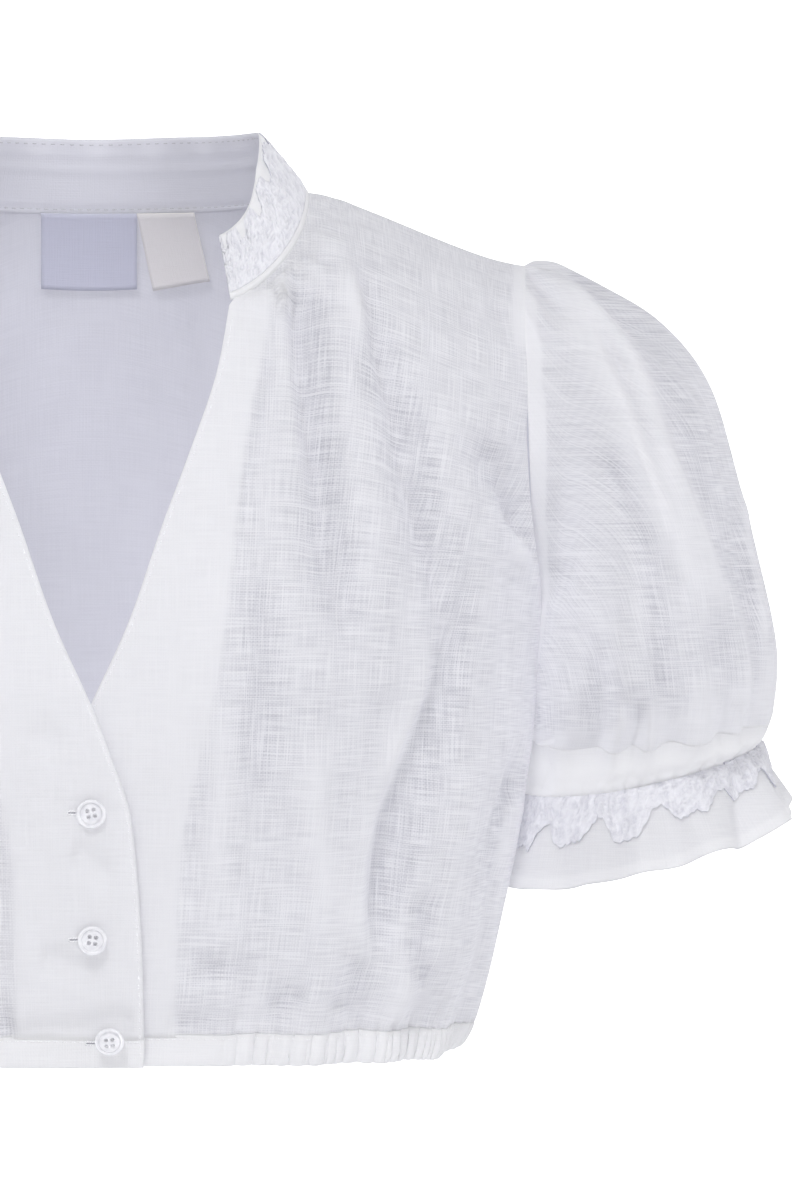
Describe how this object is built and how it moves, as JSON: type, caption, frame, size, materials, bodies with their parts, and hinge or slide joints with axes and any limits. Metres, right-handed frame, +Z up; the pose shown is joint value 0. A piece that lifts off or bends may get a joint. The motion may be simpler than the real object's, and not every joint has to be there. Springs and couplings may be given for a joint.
{
  "type": "dirndl blouse",
  "caption": "Cropped white folk-dress blouse in sheer linen, filled out as if worn, with a V neck, buttoned front, lace-edged stand collar, puffed sleeves and elastic hem",
  "frame": {"origin": "Midway between the two points where the shoulder seams meet the stand collar and level with them, where the blouse hangs on the wearer's shoulders.", "axes": "+Z up, +X to the wearer's left, and the buttoned front faces -Y."},
  "size_m": [0.567, 0.2067, 0.3715],
  "materials": {
    "linen": "matte",
    "double_linen": "matte",
    "cotton_lace": "matte",
    "pearl": "glossy",
    "label_weave": "satin",
    "label_tape": "matte"
  },
  "bodies": {
    "root": {"front_left": "linen", "front_right": "linen", "back": "linen", "facing_left": "double_linen", "facing_right": "double_linen", "casing_left": "double_linen", "casing_right": "double_linen", "casing_back": "double_linen", "collar": "double_linen", "collar_lace": "cotton_lace", "sleeve_left": "linen", "sleeve_right": "linen", "cuff_left": "double_linen", "cuff_right": "double_linen", "cuff_lace_left": "cotton_lace", "cuff_lace_right": "cotton_lace", "neck_label": "label_weave", "size_label": "label_tape", "button_1": "pearl", "button_2": "pearl", "button_3": "pearl"}
  },
  "joints": []
}
